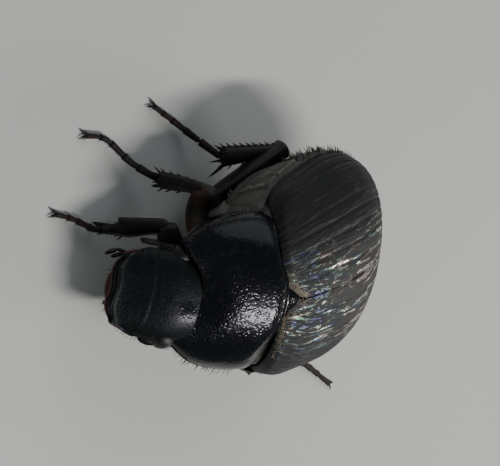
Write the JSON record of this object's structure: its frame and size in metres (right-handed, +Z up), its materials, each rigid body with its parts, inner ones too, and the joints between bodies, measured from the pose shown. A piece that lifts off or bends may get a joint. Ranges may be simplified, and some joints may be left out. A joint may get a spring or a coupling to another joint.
{
  "type": "scarab beetle",
  "caption": "Small black ribbed scarab beetle, standing with its body leaning a little and one hind leg trailing.",
  "frame": {"origin": "centre of the box round the beetle, at the level its feet stand on", "axes": "+X towards its left side, +Y towards its tail, +Z up"},
  "size_m": [0.008, 0.0094, 0.0033],
  "materials": {
    "shell": "satin black wing case with a pearly sheen on its ribs",
    "plate": "satin black, finely pitted",
    "underside": "dull grey-black",
    "leg": "dark red-brown, satin",
    "feeler": "red-brown",
    "eye": "polished black"
  },
  "bodies": {
    "root": {"head": "plate", "pronotum": "plate", "scutellum": "plate", "eye_left": "eye", "eye_right": "eye", "antenna_left": "feeler", "antenna_right": "feeler", "palp_left": "feeler", "palp_right": "feeler", "elytron_left": "shell", "elytron_right": "shell", "thorax": "underside", "abdomen": "underside", "pygidium": "underside", "femur_fore_left": "leg", "tibia_fore_left": "leg", "tarsus_fore_left": "leg", "femur_fore_right": "leg", "tibia_fore_right": "leg", "tarsus_fore_right": "leg", "femur_mid_left": "leg", "tibia_mid_left": "leg", "tarsus_mid_left": "leg", "femur_mid_right": "leg", "tibia_mid_right": "leg", "tarsus_mid_right": "leg", "femur_hind_left": "leg", "tibia_hind_left": "leg", "tarsus_hind_left": "leg", "femur_hind_right": "leg", "tibia_hind_right": "leg", "tarsus_hind_right": "leg"}
  },
  "joints": []
}
